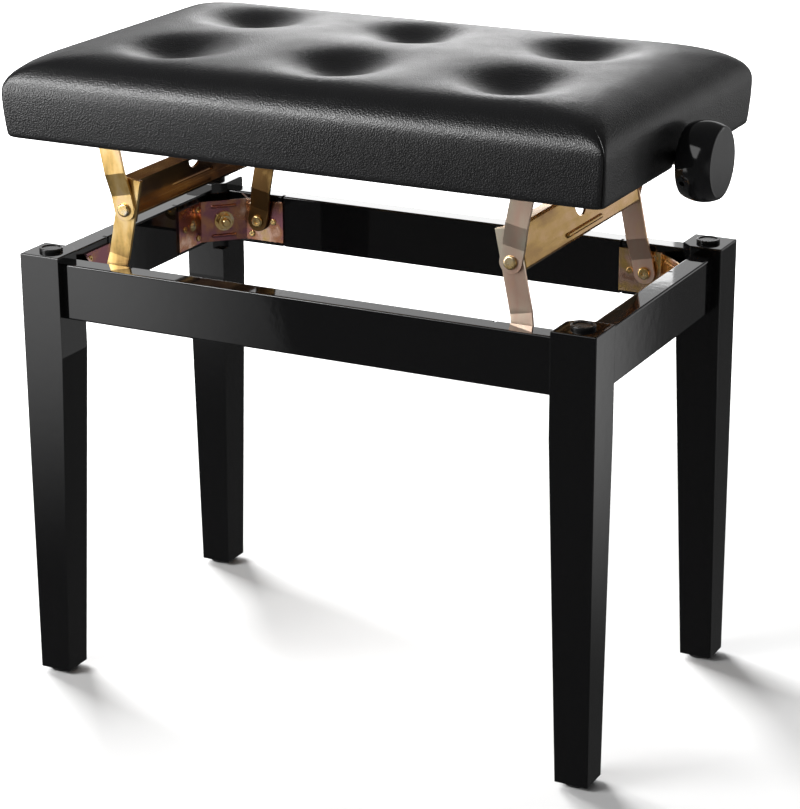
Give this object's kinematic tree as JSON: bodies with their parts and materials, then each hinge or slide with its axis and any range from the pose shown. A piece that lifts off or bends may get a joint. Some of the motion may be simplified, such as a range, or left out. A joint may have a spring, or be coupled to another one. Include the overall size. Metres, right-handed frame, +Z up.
{
  "type": "piano bench",
  "caption": "Height-adjustable piano bench with a tufted padded seat on a screw-driven scissor lift, in a black lacquered frame with tapered legs.",
  "frame": {"origin": "on the floor under the middle of the bench", "axes": "+X along the bench to the player's right, +Y to the back, +Z up"},
  "size_m": [0.634, 0.33, 0.5837],
  "materials": {
    "lacquer": "black high-gloss lacquer over wood",
    "glide_plastic": "matt moulded",
    "bumper_rubber": "satin",
    "bracket_zinc": "yellow passivated zinc, pink and copper tints",
    "fastener_steel": "zinc plated",
    "rivet_steel": "zinc plated",
    "crossbar_zinc": "yellow passivated zinc",
    "arm_zinc": "pale yellow passivated zinc",
    "nut_brass": "yellow passivated zinc",
    "spindle_steel": "zinc plated, rolled thread",
    "knob_plastic": "polished black",
    "seat_wood": "plain plywood",
    "foam": "soft foam",
    "seat_leather": "black fine-grained, satin"
  },
  "bodies": {
    "base": {"leg_front_left": "lacquer", "leg_front_right": "lacquer", "leg_back_left": "lacquer", "leg_back_right": "lacquer", "rail_front": "lacquer", "rail_back": "lacquer", "rail_left": "lacquer", "rail_right": "lacquer", "foot_glides": "glide_plastic", "leg_bumpers": "bumper_rubber", "corner_bracket_front_left": "bracket_zinc", "corner_bracket_front_right": "bracket_zinc", "corner_bracket_back_left": "bracket_zinc", "corner_bracket_back_right": "bracket_zinc", "hanger_bolts": "fastener_steel", "flange_nuts": "fastener_steel", "bracket_studs": "fastener_steel", "base_pivot_pins": "rivet_steel", "bracket_screws": "fastener_steel"},
    "lift_frame_left": {"crossbar_left": "crossbar_zinc", "nut_carrier_left": "crossbar_zinc", "lower_arm_front_left": "arm_zinc", "lower_arm_back_left": "arm_zinc", "knee_rivets_left": "rivet_steel"},
    "nut_left": {"lift_nut_left": "nut_brass"},
    "arm_front_left": {"upper_arm_front_left": "arm_zinc"},
    "arm_back_left": {"upper_arm_back_left": "arm_zinc"},
    "lift_frame_right": {"crossbar_right": "crossbar_zinc", "nut_carrier_right": "crossbar_zinc", "lower_arm_front_right": "arm_zinc", "lower_arm_back_right": "arm_zinc", "knee_rivets_right": "rivet_steel"},
    "nut_right": {"lift_nut_right": "nut_brass"},
    "arm_front_right": {"upper_arm_front_right": "arm_zinc"},
    "arm_back_right": {"upper_arm_back_right": "arm_zinc"},
    "seat": {"seat_rail_front": "seat_wood", "seat_rail_back": "seat_wood", "seat_rail_left": "seat_wood", "seat_rail_right": "seat_wood", "seat_board": "seat_wood", "seat_foam": "foam", "seat_cover": "seat_leather", "seat_bracket_front_left": "arm_zinc", "seat_bracket_front_right": "arm_zinc", "seat_bracket_back_left": "arm_zinc", "seat_bracket_back_right": "arm_zinc", "seat_pivot_pins": "rivet_steel", "seat_bracket_screws": "fastener_steel", "spindle_bearing_left": "arm_zinc", "spindle_bearing_right": "arm_zinc", "bearing_screws": "fastener_steel"},
    "spindle_body": {"spindle": "spindle_steel", "knob_left": "knob_plastic", "knob_right": "knob_plastic", "knob_set_screws": "fastener_steel"}
  },
  "joints": [
    {"name": "lift_right", "type": "hinge", "parent": "base", "child": "lift_frame_right", "pos_m": [0.2, 0, 0.369], "axis": [0, -1, 0], "range_deg": [-3, 58.6]},
    {"name": "lift_left", "type": "hinge", "parent": "base", "child": "lift_frame_left", "pos_m": [-0.2, 0, 0.369], "axis": [0, 1, 0], "range_deg": [-3, 58.6]},
    {"name": "knee_front_left", "type": "hinge", "parent": "lift_frame_left", "child": "arm_front_left", "pos_m": [-0.18488, -0.1255, 0.44399], "axis": [0, -1, 0], "range_deg": [-6, 117.2]},
    {"name": "knee_back_left", "type": "hinge", "parent": "lift_frame_left", "child": "arm_back_left", "pos_m": [-0.18488, 0.1255, 0.44399], "axis": [0, -1, 0], "range_deg": [-6, 117.2]},
    {"name": "nut_trunnion_left", "type": "hinge", "parent": "lift_frame_left", "child": "nut_left", "pos_m": [-0.16636, 0, 0.51293], "axis": [0, -1, 0], "range_deg": [-3, 58.6]},
    {"name": "knee_front_right", "type": "hinge", "parent": "lift_frame_right", "child": "arm_front_right", "pos_m": [0.18488, -0.1255, 0.44399], "axis": [0, 1, 0], "range_deg": [-6, 117.2]},
    {"name": "knee_back_right", "type": "hinge", "parent": "lift_frame_right", "child": "arm_back_right", "pos_m": [0.18488, 0.1255, 0.44399], "axis": [0, 1, 0], "range_deg": [-6, 117.2]},
    {"name": "nut_trunnion_right", "type": "hinge", "parent": "lift_frame_right", "child": "nut_right", "pos_m": [0.16636, 0, 0.51293], "axis": [0, 1, 0], "range_deg": [-3, 58.6]},
    {"name": "lift", "type": "hinge", "parent": "arm_front_right", "child": "seat", "pos_m": [0.2, -0.13, 0.51898], "axis": [0, -1, 0], "range_deg": [-3, 58.6]},
    {"name": "spindle_turn", "type": "hinge", "parent": "seat", "child": "spindle_body", "pos_m": [0, 0, 0.51248], "axis": [1, 0, 0], "continuous": true}
  ],
  "couplings": [
    {"joint": "lift_right", "follows": "lift", "ratio": 1},
    {"joint": "lift_left", "follows": "lift", "ratio": 1},
    {"joint": "knee_front_left", "follows": "lift", "ratio": 2},
    {"joint": "knee_back_left", "follows": "lift", "ratio": 2},
    {"joint": "nut_trunnion_left", "follows": "lift", "ratio": 1},
    {"joint": "knee_front_right", "follows": "lift", "ratio": 2},
    {"joint": "knee_back_right", "follows": "lift", "ratio": 2},
    {"joint": "nut_trunnion_right", "follows": "lift", "ratio": 1},
    {"joint": "spindle_turn", "follows": "lift", "ratio": 163.9}
  ]
}
